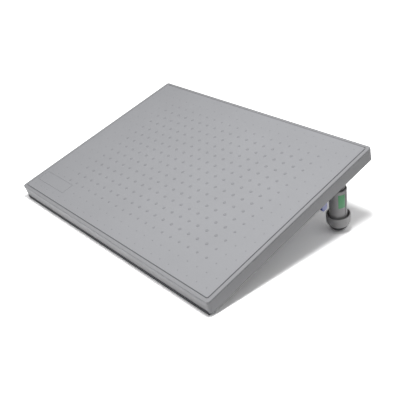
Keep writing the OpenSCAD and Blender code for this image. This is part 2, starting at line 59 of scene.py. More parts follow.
class Side(Enum):
    """The two sides of the footrest, with the sign of their X."""

    LEFT = -1
    RIGHT = 1

    def name_of(self, piece: str) -> str:
        """Gives a piece or body its side's name.

        Args:
            piece: The name without its side.

        Returns:
            The name with its side in front.
        """
        return f"{self.name.lower()}_{piece}"


class Texture(Enum):
    """How coarse a moulded surface is: grains per metre."""

    SMOOTH = 2600.0
    FINE = 1900.0
    COARSE = 1300.0


# ---- placing


@dataclass(frozen=True)
class Stance:
    """Where the platform and the legs stand, in millimetres and degrees."""

    tilt: float = 18.0
    rake: float = 8.0
    mid_y: float = 165.1966
    rim_z: float = 24.4477
    leg_x: float = 205.0
    leg_y: float = 285.0

    def on_platform(self) -> Matrix:
        """Turns the platform's own millimetres into the footrest's metres.

        Returns:
            The matrix that tilts and lifts a piece drawn square to the rim.
        """
        lift = Matrix.Translation((0.0, -self.mid_y * MM, self.rim_z * MM))
        return lift @ Matrix.Rotation(math.radians(self.tilt), 4, "X") @ Matrix.Scale(MM, 4)

    def by_leg(self, side: Side) -> Matrix:
        """Places a piece beside a leg, square to the platform.

        Args:
            side: The leg's side.

        Returns:
            The matrix, mirrored in X on the left.
        """
        flip = Matrix.Scale(side.value, 4, (1.0, 0.0, 0.0))
        return self.on_platform() @ flip @ Matrix.Translation((self.leg_x, self.leg_y, 0.0))

    def on_leg(self, side: Side) -> Matrix:
        """Places a piece drawn along a leg's axis, with Z down from the platform's top.

        Args:
            side: The leg's side.

        Returns:
            The matrix, which also mirrors Z.
        """
        lean = Matrix.Rotation(math.radians(-self.rake), 4, "X")
        return self.by_leg(side) @ lean @ Matrix.Scale(-1.0, 4, (0.0, 0.0, 1.0))


# ---- mesh work


class Form:
    """A closed form that is shaped with mesh operators in millimetres.

    Faces of more than flat_above square millimetres stay flat, so no rounded edge shades across them.
    """

    flat_above: float = 300.0

    def __init__(self) -> None:
        """Starts with nothing in it."""
        self.bm = bmesh.new()

    def block(self, low: Vector, high: Vector) -> Verts:
        """Adds a block between two corners.

        Args:
            low: Its lowest corner.
            high: Its highest corner.

        Returns:
            The block's vertices.
        """
        middle, size = (Vector(low) + Vector(high)) / 2, Vector(high) - Vector(low)
        place = Matrix.Translation(middle) @ Matrix.Diagonal((*size, 1.0))
        return bmesh.ops.create_cube(self.bm, size=1.0, matrix=place)["verts"]

    def turned(self, outline: list[Pair], steps: int,
               middle: Vector = Vector()) -> Verts:
        """Spins an outline of radius and height points round Z.

        Args:
            outline: Points from one end of the profile to the other.
            steps: Steps in the full turn.
            middle: A point on the axis.

        Returns:
            The new vertices.
        """
        before = set(self.bm.verts)
        points = [self.bm.verts.new(middle + Vector((r, 0.0, z))) for r, z in outline]
        edges = [self.bm.edges.new(pair) for pair in zip(points, points[1:])]
        bmesh.ops.spin(self.bm, geom=points + edges, cent=middle, axis=(0.0, 0.0, 1.0), angle=math.tau,
                       steps=steps, use_merge=True, use_duplicate=False)
        new = [v for v in self.bm.verts if v not in before]
        bmesh.ops.remove_doubles(self.bm, verts=new, dist=2 * MERGE)
        return [v for v in self.bm.verts if v not in before]

    def soften(self, edges: Edges, width: float, segments: int = 2) -> None:
        """Rounds edges.

        Args:
            edges: The edges to round.
            width: Width of the rounding.
            segments: Its steps.
        """
        bmesh.ops.bevel(self.bm, geom=edges, offset=width, offset_type="OFFSET", segments=segments,
                        profile=0.5, affect="EDGES", material=-1, clamp_overlap=True)

    def sharp_edges(self, least: float = 35.0) -> Edges:
        """Finds the edges that turn by more than an angle.

        Args:
            least: The angle in degrees.

        Returns:
            The edges.
        """
        self.bm.normal_update()
        return [e for e in self.bm.edges if e.is_manifold and e.calc_face_angle(0.0) > math.radians(least)]

    def drawn(self, name: str) -> bpy.types.Mesh:
        """Makes the form's mesh as it is drawn, for cuts and joins.

        Args:
            name: The mesh's name.

        Returns:
            The mesh in millimetres.
        """
        return self.mesh(name, Matrix())

    def mesh(self, name: str, place: Matrix, crease: float = 32.0) -> bpy.types.Mesh:
        """Puts the form in its place and makes its mesh, smooth up to an angle.

        Args:
            name: The mesh's name.
            place: The matrix from the form's millimetres to the footrest's metres.
            crease: Edges that turn by more degrees stay sharp.

        Returns:
            The finished mesh.
        """
        bmesh.ops.transform(self.bm, matrix=place, verts=self.bm.verts)
        bmesh.ops.recalc_face_normals(self.bm, faces=self.bm.faces)
        self.bm.normal_update()
        for face in self.bm.faces:
            face.smooth = face.calc_area() < self.flat_above * MM * MM
        for edge in self.bm.edges:
            edge.smooth = edge.is_manifold and edge.calc_face_angle(0.0) < math.radians(crease)
        mesh = bpy.data.meshes.new(name)
        self.bm.to_mesh(mesh)
        self.bm.free()
        return mesh


def stand(name: str, data: bpy.types.ID) -> bpy.types.Object:
    """Adds an object to the scene.

    Args:
        name: The object's name.
        data: Its mesh, lamp or camera.

    Returns:
        The object.
    """
    thing = bpy.data.objects.new(name, data)
    bpy.context.collection.objects.link(thing)
    return thing


def add_piece(name: str, mesh: bpy.types.Mesh, finish: "Finish", body: str, slot: str,
              *nodes: str) -> bpy.types.Object:
    """Adds a finished piece to the footrest.

    Args:
        name: The piece's name.
        mesh: Its mesh, already in place.
        finish: Its material.
        body: The body that it rides on.
        slot: Its material slot in the record; not used.
        *nodes: The solids that it stands for.

    Returns:
        The piece's object.
    """
    piece = stand(name, mesh)
    mesh.materials.clear()
    mesh.materials.append(finish.material())
    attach(piece, body)
    if nodes:
        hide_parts(*nodes)
    LOG.info("%s: %d faces on %s", name, len(mesh.polygons), body)
    return piece


def combine(piece: bpy.types.Mesh, tool: bpy.types.Mesh, operation: str) -> bpy.types.Mesh:
    """Joins two closed meshes, or cuts one from the other.

    Args:
        piece: The mesh to change.
        tool: The mesh that joins or cuts it.
        operation: UNION or DIFFERENCE.

    Returns:
        The new mesh.
    """
    first, second = stand(piece.name, piece), stand(tool.name, tool)
    change = first.modifiers.new(operation.title(), "BOOLEAN")
    change.operation, change.object, change.solver = operation, second, "MANIFOLD"
    bpy.context.view_layer.update()
    result = bpy.data.meshes.new_from_object(first.evaluated_get(bpy.context.evaluated_depsgraph_get()))
    result.name = piece.name
    for shape in (first, second):
        bpy.data.objects.remove(shape)
    return result


def settle(mesh: bpy.types.Mesh, place: Matrix, name: str, clean: bool = False) -> bpy.types.Mesh:
    """Puts a mesh that was cut or joined in its place and smooths it.

    Args:
        mesh: The mesh in millimetres.
        place: The matrix to the footrest's metres.
        name: The new mesh's name.
        clean: Whether slivers are taken out as well as double points.

    Returns:
        The finished mesh.
    """
    form = Form()
    form.bm.from_mesh(mesh)
    bmesh.ops.remove_doubles(form.bm, verts=form.bm.verts, dist=MERGE)
    if clean:
        bmesh.ops.dissolve_degenerate(form.bm, edges=form.bm.edges, dist=MERGE)
    return form.mesh(name, place)


# ---- finishes


@dataclass(frozen=True)
class Socket:
    """An input or output of a shared node group."""

    name: str
    kind: str = "NodeSocketFloat"
    value: float | tuple[float, ...] | None = None


class Shared:
    """Node groups that more than one finish uses, each built once."""

    pit_smoothness: float = 0.35
    haze_detail: float = 3.0
    haze_share: float = 0.45
    haze_weight: float = 0.6
    hollow_shade_limit: Pair = (0.6, 0.2)
    cloud_detail: float = 4.0
    cloud_roughness: float = 0.6
    rub_gain: float = 9.0

    @staticmethod
    def start(name: str, inputs: list[Socket],
              outputs: list[Socket]) -> tuple[bpy.types.NodeTree, dict[str, bpy.types.Node]]:
        """Opens a new group.

        Args:
            name: The group's name.
            inputs: Its inputs.
            outputs: Its outputs.

        Returns:
            The group with its input and output nodes.
        """
        tree = bpy.data.node_groups.new(name, "ShaderNodeTree")
        for side, sockets in (("INPUT", inputs), ("OUTPUT", outputs)):
            for item in sockets:
                made = tree.interface.new_socket(item.name, in_out=side, socket_type=item.kind)
                if item.value is not None:
                    made.default_value = item.value
        ends = {"in": tree.nodes.new("NodeGroupInput"), "out": tree.nodes.new("NodeGroupOutput")}
        return tree, ends

    @staticmethod
    def maths(tree: bpy.types.NodeTree, operation: str, *values: object) -> bpy.types.NodeSocket:
        """Adds a Math node.

        Args:
            tree: The tree.
            operation: The node's operation.
            *values: Numbers or sockets for its inputs.

        Returns:
            Its output.
        """
        node = tree.nodes.new("ShaderNodeMath")
        node.operation = operation
        for index, value in enumerate(values):
            if isinstance(value, bpy.types.NodeSocket):
                tree.links.new(value, node.inputs[index])
            else:
                node.inputs[index].default_value = value
        return node.outputs[0]

    @classmethod
    def grain(cls) -> bpy.types.NodeTree:
        """Moulded grain: a field of small rounded pits and hills.

        Returns:
            The group, with the grain's height and a mask of its low places, for painted shade.
        """
        found = bpy.data.node_groups.get("moulded_grain")
        if found:
            return found
        scale = Socket("Scale", value=Texture.FINE.value)
        tree, ends = cls.start("moulded_grain", [scale], [Socket("Height"), Socket("Hollows")])
        place = tree.nodes.new("ShaderNodeTexCoord")
        pits = tree.nodes.new("ShaderNodeTexVoronoi")
        pits.feature = "SMOOTH_F1"
        pits.inputs["Smoothness"].default_value = cls.pit_smoothness
        haze = tree.nodes.new("ShaderNodeTexNoise")
        haze.inputs["Detail"].default_value = cls.haze_detail
        tree.links.new(ends["in"].outputs["Scale"], pits.inputs["Scale"])
        coarse = cls.maths(tree, "MULTIPLY", ends["in"].outputs["Scale"], cls.haze_share)
        tree.links.new(coarse, haze.inputs["Scale"])
        for node in (pits, haze):
            tree.links.new(place.outputs["Object"], node.inputs["Vector"])
        hills = cls.maths(tree, "SUBTRACT", 1.0, pits.outputs["Distance"])
        height = cls.maths(tree, "MULTIPLY_ADD", haze.outputs["Fac"], cls.haze_weight, hills)
        tree.links.new(height, ends["out"].inputs["Height"])
        # Mask of the grain's low places, which the finishes darken as painted shade.
        hollows = cls.maths(tree, "SMOOTH_MIN", pits.outputs["Distance"], *cls.hollow_shade_limit)
        tree.links.new(hollows, ends["out"].inputs["Hollows"])
        return tree

    @classmethod
    def cloud(cls) -> bpy.types.NodeTree:
        """Slow unevenness of tone, as flow and handling leave on moulded plastic.

        Returns:
            The group, with a value around 0.5.
        """
        found = bpy.data.node_groups.get("slow_cloud")
        if found:
            return found
        tree, ends = cls.start("slow_cloud", [Socket("Scale", value=CLOUD_SCALE)], [Socket("Tone")])
        place = tree.nodes.new("ShaderNodeTexCoord")
        haze = tree.nodes.new("ShaderNodeTexNoise")
        haze.inputs["Detail"].default_value = cls.cloud_detail
        haze.inputs["Roughness"].default_value = cls.cloud_roughness
        tree.links.new(place.outputs["Object"], haze.inputs["Vector"])
        tree.links.new(ends["in"].outputs["Scale"], haze.inputs["Scale"])
        tree.links.new(haze.outputs["Fac"], ends["out"].inputs["Tone"])
        return tree

    @classmethod
    def rubbed(cls) -> bpy.types.NodeTree:
        """Edges and corners rubbed a little lighter.

        Returns:
            The group, with a mask of the rubbed edges.
        """
        found = bpy.data.node_groups.get("rubbed_edges")
        if found:
            return found
        tree, ends = cls.start("rubbed_edges", [Socket("Reach", value=EDGE_REACH)], [Socket("Mask")])
        shape = tree.nodes.new("ShaderNodeNewGeometry")
        rise = cls.maths(tree, "SUBTRACT", shape.outputs["Pointiness"], ends["in"].outputs["Reach"])
        mask = cls.maths(tree, "MULTIPLY", rise, cls.rub_gain)
        mask.node.use_clamp = True
        tree.links.new(mask, ends["out"].inputs["Mask"])
        return tree


# Scale of the slow unevenness of tone, where the rubbed edges begin, swing of the gloss, and metres of grain.
CLOUD_SCALE = 14.0
EDGE_REACH = 0.54
ROUGH_SWING = 0.12
GRAIN_DEPTH = 0.0003


@dataclass(frozen=True)
class Finish:
    """A moulded plastic or rubber: its colour, how the colour varies, its grain and its gloss."""

    name: str
    colour: Triple
    rough: float = 0.5
    texture: Texture = Texture.FINE
    bump: float = 0.08
    cloud: float = 0.05
    # Painted shade in the grain's low places, with painted light on its high places.
    hollows: float = 0.10
    rubbed: float = 0.12
    metal: float = 0.0
    coat: float = 0.0
    specular: float = 0.5

    def group(self, tree: bpy.types.NodeTree, shared: bpy.types.NodeTree, **values: float) -> bpy.types.Node:
        """Places a shared group in the material.

        Args:
            tree: The material's tree.
            shared: The group.
            **values: Its input values.

        Returns:
            The group's node.
        """
        node = tree.nodes.new("ShaderNodeGroup")
        node.node_tree = shared
        for name, value in values.items():
            node.inputs[name].default_value = value
        return node

    def material(self) -> bpy.types.Material:
        """Builds the material once.

        Returns:
            The material.
        """
        found = bpy.data.materials.get(self.name)
        if found:
            return found
        material = bpy.data.materials.new(self.name)
        material.use_nodes = True
        material.diffuse_color = (*self.colour, 1.0)
        tree = material.node_tree
        shader = tree.nodes["Principled BSDF"]
        shader.inputs["Metallic"].default_value = self.metal
        shader.inputs["Coat Weight"].default_value = self.coat
        shader.inputs["Specular IOR Level"].default_value = self.specular
        grain = self.group(tree, Shared.grain(), Scale=self.texture.value)
        cloud = self.group(tree, Shared.cloud(), Scale=CLOUD_SCALE)
        rubbed = self.group(tree, Shared.rubbed(), Reach=EDGE_REACH)
        tone = Shared.maths(tree, "MULTIPLY_ADD", cloud.outputs["Tone"], 2.0 * self.cloud, 1.0 - self.cloud)
        # Painted shade: the grain's low places darker and its high places lighter.
        hollows, level = grain.outputs["Hollows"], 1.0 + self.hollows / 2
        pits = Shared.maths(tree, "MULTIPLY_ADD", hollows, -self.hollows, level)
        edge = Shared.maths(tree, "MULTIPLY_ADD", rubbed.outputs["Mask"], self.rubbed, 1.0)
        tone = Shared.maths(tree, "MULTIPLY", Shared.maths(tree, "MULTIPLY", tone, pits), edge)
        tint = tree.nodes.new("ShaderNodeVectorMath")
        tint.operation = "SCALE"
        tint.inputs[0].default_value = self.colour
        tree.links.new(tone, tint.inputs["Scale"])
        tree.links.new(tint.outputs[0], shader.inputs["Base Color"])
        rough = Shared.maths(tree, "MULTIPLY_ADD", cloud.outputs["Tone"], ROUGH_SWING,
                             self.rough - ROUGH_SWING / 2)
        tree.links.new(rough, shader.inputs["Roughness"])
        bump = tree.nodes.new("ShaderNodeBump")
        bump.inputs["Strength"].default_value = self.bump
        bump.inputs["Distance"].default_value = GRAIN_DEPTH
        tree.links.new(grain.outputs["Height"], bump.inputs["Height"])
        tree.links.new(bump.outputs["Normal"], shader.inputs["Normal"])
        return material


class Palette:
    """The footrest's finishes."""

    SHELL = Finish("grained_grey_shell", (0.358, 0.360, 0.373), rough=0.44, bump=0.25,
                   specular=0.25)
    TREAD = Finish("grained_grey_tread", (0.402, 0.406, 0.424), rough=0.56, texture=Texture.COARSE, bump=0.35,
                   rubbed=0.0, specular=0.2)
    # The dots are tread plastic; their grey, darker than the tread's, is painted shade.
    DOTS_PAINTED_SHADE = Finish("grey_dots_painted_shade", (0.332, 0.337, 0.353), rough=0.66, bump=0.2,
                  specular=0.2)
    # The legs' grey is lighter than their own dark grey, making up for the shade under the platform: painted
    # light on the tube and the cup.
    LEG_PAINTED_LIGHT = Finish("dark_grey_leg_painted_light", (0.505, 0.500, 0.504), rough=0.48, bump=0.25)
    POST = Finish("smooth_charcoal_post", (0.080, 0.080, 0.084), rough=0.36, texture=Texture.SMOOTH, bump=0.1)
    GREEN = Finish("green_height_mark", (0.115, 0.440, 0.190), rough=0.40, texture=Texture.SMOOTH, bump=0.08)
    BLUE = Finish("blue_release_lever", (0.055, 0.075, 0.330), rough=0.30, texture=Texture.SMOOTH, bump=0.05,
                  coat=0.2)
    RUBBER = Finish("black_rubber", (0.009, 0.009, 0.010), rough=0.78, texture=Texture.COARSE, bump=0.15,
                    cloud=0.15, specular=0.03)
    STEEL = Finish("turned_steel", (0.56, 0.56, 0.55), rough=0.32, texture=Texture.SMOOTH, bump=0.05,
                   metal=1.0)
    ZINC = Finish("zinc_plated_screw", (0.60, 0.59, 0.54), rough=0.38, texture=Texture.SMOOTH, bump=0.05,
                  metal=1.0)


# ---- platform


@dataclass
class Platform:
    """The shell, its tread with the grip dots, and the rubber strip, in millimetres."""

    stance: Stance
    width: float = 450.0
    depth: float = 340.0
    skirt: float = 21.5
    wall: float = 3.0
    deck: float = 2.2
    corner: float = 4.5
    edge: float = 1.3
    corner_steps: int = 10
    parting: Triple = (1.5, 0.5, 0.45)
    pocket_depth: float = 1.4
    pocket_inset: float = 5.2
    pocket_fit: float = 0.8
    mouth: float = 0.5
    mouth_drop: float = 0.3
    sole_soft: float = 0.3
    tread_inset: float = 6.1
    tread_corner: float = 2.4
    tread_edge: float = 1.1
    tread_rise: float = 0.6
    tread_steps: int = 8
    rib: float = 1.8
    rib_height: float = 5.0
    rib_pitch: float = 44.0
    bay: Pair = (52.0, 132.0)
    rail: Pair = (14.0, 2.6)
    screw_grid: tuple[float, int] = (38.0, 4)
    screw_room: Triple = (4.8, 2.9, 8.0)
    screw_step: float = 0.05
    screw_steps: int = 32
    strip_depth: float = 10.5
    strip_soft: float = 0.5
    lip: Pair = (1.0, 2.2)
    lip_gap: float = 0.02
    pitch: float = 18.0
    margin: float = 14.0
    dot: float = 5.0
    dot_height: float = 0.9
    dot_root: float = 0.3
    dot_curve: tuple[Pair, ...] = ((0.94, 0.35), (0.62, 0.82))
    dot_steps: int = 12
    name_field: tuple[float, float, float, float] = (12.0, 25.0, 76.0, 22.0)
    field_line: Pair = (0.8, 0.4)
    left_shares: tuple[float, ...] = (0.35, 0.4, 0.45, 0.9)
    right_shares: tuple[float, ...] = (0.4, 0.45, 0.8)
    front_shares: tuple[float, ...] = (0.4, 0.45, 0.8)
    rear_shares: tuple[float, ...] = (0.35, 0.45, 0.75)

    def slab(self, inset: float, radius: float, top: float, height: float, rounding: float,
             steps: int) -> Form:
        """Makes a slab with round corners and a rounded upper edge.

        Args:
            inset: How far it lies inside the platform's outline.
            radius: Radius of its corners.
            top: Height of its top.
            height: Its height.
            rounding: Rounding of its upper edge.
            steps: Steps of each rounding.

        Returns:
            The form.
        """
        form = self.prism(inset, radius, top, height, steps)
        rim = [e for e in form.bm.edges if all(v.co.z > top - NEAR for v in e.verts)]
        form.soften(rim, rounding, max(3, steps // 2))
        return form

    def prism(self, inset: float, radius: float, top: float, height: float, steps: int) -> Form:
        """Makes an upright prism with round corners.

        Args:
            inset: How far it lies inside the platform's outline.
            radius: Radius of its corners.
            top: Height of its top.
            height: Its height.
            steps: Steps of each corner.

        Returns:
            The form.
        """
        form = Form()
        low = Vector((inset - self.width / 2, inset, top - height))
        form.block(low, Vector((self.width / 2 - inset, self.depth - inset, top)))
        upright = [e for e in form.bm.edges if abs(e.verts[0].co.z - e.verts[1].co.z) > height / 2]
        form.soften(upright, radius, steps)
        return form

    def parting_line(self) -> bpy.types.Mesh:
        """Makes the cutter of the fine line round the skirt, under its upper edge.

        Returns:
            The cutter, a flat frame.
        """
        (drop, height, depth), steps = self.parting, self.corner_steps
        outer = self.prism(-2 * OVER, self.corner + 2 * OVER, -drop, height, steps)
        inner = self.prism(depth, self.corner - depth, OVER - drop, height + 2 * OVER, steps)
        return combine(outer.drawn("line_outside"), inner.drawn("line_inside"), "DIFFERENCE")

    def pocket(self) -> tuple[Form, Form]:
        """Makes the cutters of the tread's pocket and of its soft mouth.

        Returns:
            The mouth's cutter and the pocket's.
        """
        soft, drop, steps = self.mouth, self.mouth_drop, self.corner_steps
        radius = self.tread_corner + self.pocket_fit
        mouth = self.prism(self.pocket_inset - soft, radius + soft, OVER, OVER + drop, steps)
        mouth.soften([e for e in mouth.bm.edges if all(v.co.z < 0.0 for v in e.verts)], drop)
        return mouth, self.prism(self.pocket_inset, radius, OVER, OVER + self.pocket_depth, steps)

    def hollow(self, form: Form, depth: float) -> None:
        """Hollows a form from below, so that its walls stay.

        Args:
            form: The form.
            depth: Depth of the hollow.
        """
        form.bm.normal_update()
        under = [f for f in form.bm.faces if f.normal.z < -0.99]
        face = max(under, key=lambda f: f.calc_area())
        soft, slope = self.sole_soft, self.sole_soft * 0.6
        bmesh.ops.inset_region(form.bm, faces=[face], thickness=self.wall - soft, use_even_offset=True)
        bmesh.ops.inset_region(form.bm, faces=[face], thickness=soft, depth=-slope, use_even_offset=True)
        moved = bmesh.ops.extrude_discrete_faces(form.bm, faces=[face])["faces"]
        verts = [v for f in moved for v in f.verts]
        bmesh.ops.translate(form.bm, vec=(0.0, 0.0, depth - slope), verts=verts)

    def in_bay(self, x: float, y: float) -> bool:
        """Says whether a place is in the open bay of a leg.

        Args:
            x: The place across the platform.
            y: The place from its front edge.

        Returns:
            Whether it is.
        """
        return abs(x) > self.width / 2 - self.wall - self.bay[0] and y > self.depth - self.bay[1]

    def shell(self) -> None:
        """Builds the platform's shell with its ribs and sole rail."""
        form = self.slab(0.0, self.corner, 0.0, self.skirt, self.edge, self.corner_steps)
        under = -(self.pocket_depth + self.deck)
        self.hollow(form, self.skirt + under)
        mesh = combine(form.drawn("shell"), self.parting_line(), "DIFFERENCE")
        for cutter in self.pocket():
            mesh = combine(mesh, cutter.drawn("pocket"), "DIFFERENCE")
        ribs = Form()
        half = self.width / 2 - self.wall
        columns = int((half - self.rib_pitch / 2) // self.rib_pitch)
        rows = int((self.depth - self.rail[0]) // self.rib_pitch)
        foot, head = under - self.rib_height, under + self.deck / 2
        for column in range(-columns, columns + 1):
            x = column * self.rib_pitch
            end = self.depth - (self.bay[1] if self.in_bay(x, self.depth) else self.wall / 2)
            ribs.block((x - self.rib / 2, self.wall / 2, foot), (x + self.rib / 2, end, head))
        across = Form()
        for row in range(1, rows + 1):
            y = row * self.rib_pitch
            reach = half - self.bay[0] if y > self.depth - self.bay[1] else half + self.wall / 2
            across.block((-reach, y - self.rib / 2, foot - NEAR), (reach, y + self.rib / 2, head + NEAR))
        side = self.width / 2 - self.corner
        across.block((-side, self.wall / 2, -self.skirt), (side, self.rail[0], self.rail[1] - self.skirt))
        mesh = combine(mesh, ribs.drawn("ribs"), "UNION")
        mesh = combine(mesh, across.drawn("cross_ribs"), "UNION")
        mesh = self.drill(mesh, under)
        self.add("platform_shell", mesh, Palette.SHELL, "shell_plastic", "base_shell", "deck_ribs")

    def drill(self, mesh: bpy.types.Mesh, under: float) -> bpy.types.Mesh:
        """Cuts the rooms of the tread's screws out of the deck and the ribs.

        Args:
            mesh: The shell.
            under: Height of the deck's underside.

        Returns:
            The drilled shell.
        """
        cutter = Form()
        head, shank, length = self.screw_room
        step, low = under - self.screw_step, under - length
        outline = [(0.0, low), (head, low), (head, step), (shank, step), (shank, OVER), (0.0, OVER)]
        for x, y in self.screw_places():
            cutter.turned(outline, self.screw_steps, Vector((x, y, 0.0)))
        return combine(mesh, cutter.drawn("screw_rooms"), "DIFFERENCE")

    def screw_places(self) -> list[Pair]:
        """Lists the places of the tread's screws.

        Returns:
            Their X and Y on the platform.
        """
        border, count = self.screw_grid
        xs = [border - self.width / 2 + i * (self.width - 2 * border) / (count - 1) for i in range(count)]
        ys = [border + j * (self.depth - 2 * border) / (count - 1) for j in range(count)]
        return [(x, y) for x in xs for y in ys if not self.in_bay(x, y)]

    def add(self, name: str, mesh: bpy.types.Mesh, finish: Finish, slot: str, *nodes: str) -> None:
        """Settles a mesh on the platform and adds it as a piece.

        Args:
            name: The piece's name.
            mesh: The mesh in millimetres.
            finish: Its finish.
            slot: Its material slot.
            *nodes: The solids that it stands for.
        """
        done = settle(mesh, self.stance.on_platform(), name, clean=True)
        add_piece(name, done, finish, PLATFORM, slot, *nodes)

    def tread(self) -> None:
        """Builds the tread plate with its soft edge and the line round its bare name field."""
        thick = self.pocket_depth + self.tread_rise
        form = self.slab(self.tread_inset, self.tread_corner, self.tread_rise, thick, self.tread_edge,
                         self.tread_steps)
        plate = form.drawn("tread")
        x, y, wide, deep = self.name_field
        x -= self.width / 2
        rise, (broad, sunk) = self.tread_rise, self.field_line
        line = Form()
        line.block((x, y, rise - sunk), (x + wide, y + deep, rise + OVER))
        inner = Form()
        inner.block((x + broad, y + broad, rise - OVER),
                    (x + wide - broad, y + deep - broad, rise + 2 * OVER))
        groove = combine(line.drawn("line"), inner.drawn("inside"), "DIFFERENCE")
        plate = combine(plate, groove, "DIFFERENCE")
        self.add("tread_top", plate, Palette.TREAD, "tread_plastic", "tread_plate")

    def dot_share(self, column: int, row: int, columns: int, rows: int) -> float:
        """Gives the size of a grip dot as a share of a full one.

        Args:
            column: The dot's column.
            row: Its row.
            columns: Number of columns.
            rows: Number of rows.

        Returns:
            The share, below 1 in the outer rings.
        """
        ends = ((self.left_shares, column), (self.right_shares, columns - 1 - column),
                (self.front_shares, row), (self.rear_shares, rows - 1 - row))
        return min([shares[index] for shares, index in ends if index < len(shares)], default=1.0)

    def grip_dots(self) -> None:
        """Sets the grid of low grip dots on the tread, small in its outer rings, in a darker grey that is
        painted shade.
        """
        form = Form()
        columns = int((self.width - 2 * self.margin) // self.pitch) + 1
        rows = int((self.depth - 2 * self.margin) // self.pitch) + 1
        left, front, wide, deep = self.name_field
        for column in range(columns):
            for row in range(rows):
                x = (column - (columns - 1) / 2) * self.pitch
                y = self.depth / 2 + (row - (rows - 1) / 2) * self.pitch
                from_left = x + self.width / 2 - left
                if -self.dot < from_left < wide + self.dot and -self.dot < y - front < deep + self.dot:
                    continue
                share = self.dot_share(column, row, columns, rows)
                radius, rise = share * self.dot / 2, share * self.dot_height
                curve = [(radius * out, rise * up) for out, up in self.dot_curve]
                outline = [(0.0, -self.dot_root), (radius, -self.dot_root), *curve, (0.0, rise)]
                form.turned(outline, self.dot_steps, Vector((x, y, self.tread_rise)))
        mesh = form.mesh("grip_dots", self.stance.on_platform(), SHARP)
        add_piece("grip_dots", mesh, Palette.DOTS_PAINTED_SHADE, PLATFORM, "tread_plastic")

    def strip(self) -> None:
        """Builds the rubber strip under the front edge, level on the floor and lipped over the skirt; the
        lip's black band is partly painted shadow along the front edge.
        """
        form = Form()
        tilt = math.radians(self.stance.tilt)
        side = self.width / 2 - self.corner
        sole, (out, up) = -self.skirt, self.lip
        verts = form.block((-side, -out, sole - 4 * OVER), (side, self.strip_depth, sole))
        for vert in verts:
            if vert.co.z < sole - OVER:
                vert.co.z = -(self.stance.rim_z + vert.co.y * math.sin(tilt)) / math.cos(tilt)
        floor = [e for e in form.bm.edges if all(v.co.z < sole - OVER for v in e.verts)]
        form.soften(floor, self.strip_soft, 3)
        # The lip is rubber that also thickens the black line along the front edge: partly painted shadow.
        lip = Form()
        lip.block((-side, -out, sole - OVER), (side, -self.lip_gap, sole + up))
        edge = [e for e in lip.bm.edges if all(v.co.z > sole and v.co.y < -out / 2 for v in e.verts)]
        lip.soften(edge, self.strip_soft, 3)
        mesh = combine(form.drawn("strip"), lip.drawn("lip"), "UNION")
        self.add("rubber_strip", mesh, Palette.RUBBER, "black_rubber", "front_strip")

    def build(self) -> None:
        """Builds the whole platform."""
        self.shell()
        self.tread()
        self.grip_dots()
        self.strip()


# ---- legs


